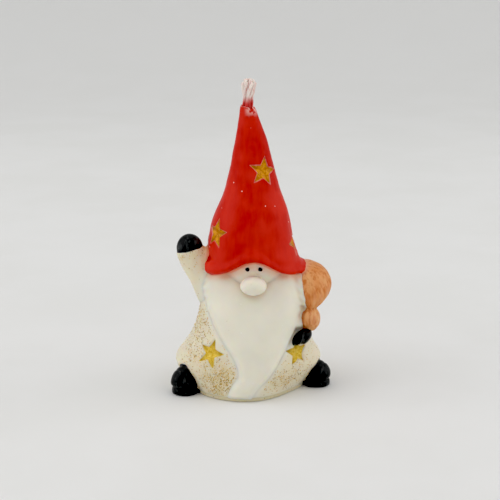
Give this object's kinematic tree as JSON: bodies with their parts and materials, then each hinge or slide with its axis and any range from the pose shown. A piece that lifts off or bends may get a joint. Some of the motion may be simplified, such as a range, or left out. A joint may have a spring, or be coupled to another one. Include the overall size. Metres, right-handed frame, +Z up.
{
  "type": "tomte gnome candle figurine",
  "caption": "Hand-painted wax gnome with a tall pointed hat, long beard, raised mitten and sack, cast round a cotton wick that stands out of the hat's tip.",
  "frame": {"origin": "centre of the base layer's flat underside, on the surface that the candle stands on", "axes": "+Z up along the hat, -Y the way the gnome faces, +X towards its left hand, which holds the sack"},
  "size_m": [0.0517, 0.0389, 0.1001],
  "materials": {
    "ivory_wax": "satin translucent wax",
    "coat_wax": "satin translucent wax with gold glitter",
    "base_wax": "satin translucent wax",
    "red_paint": "brushed glossy paint on wax",
    "black_paint": "satin paint on wax",
    "sack_paint": "thin orange-brown wash on wax",
    "gold_paint": "pearly gold paint on wax",
    "cotton": "braided cotton stained with red wax"
  },
  "bodies": {
    "root": {"base_layer": "base_wax", "coat": "coat_wax", "beard": "ivory_wax", "head": "ivory_wax", "nose": "ivory_wax", "right_eye": "black_paint", "left_eye": "black_paint", "hat": "red_paint", "right_sleeve": "coat_wax", "right_mitten": "black_paint", "left_sleeve": "coat_wax", "left_mitten": "black_paint", "sack": "sack_paint", "sack_mouth": "sack_paint", "right_boot": "black_paint", "right_boot_sole": "black_paint", "left_boot": "black_paint", "left_boot_sole": "black_paint", "hat_star_front": "gold_paint", "hat_star_right": "gold_paint", "hat_star_left": "gold_paint", "hat_star_back": "gold_paint", "coat_star_right": "gold_paint", "coat_star_left": "gold_paint", "coat_star_back": "gold_paint", "wick": "cotton"}
  },
  "joints": []
}
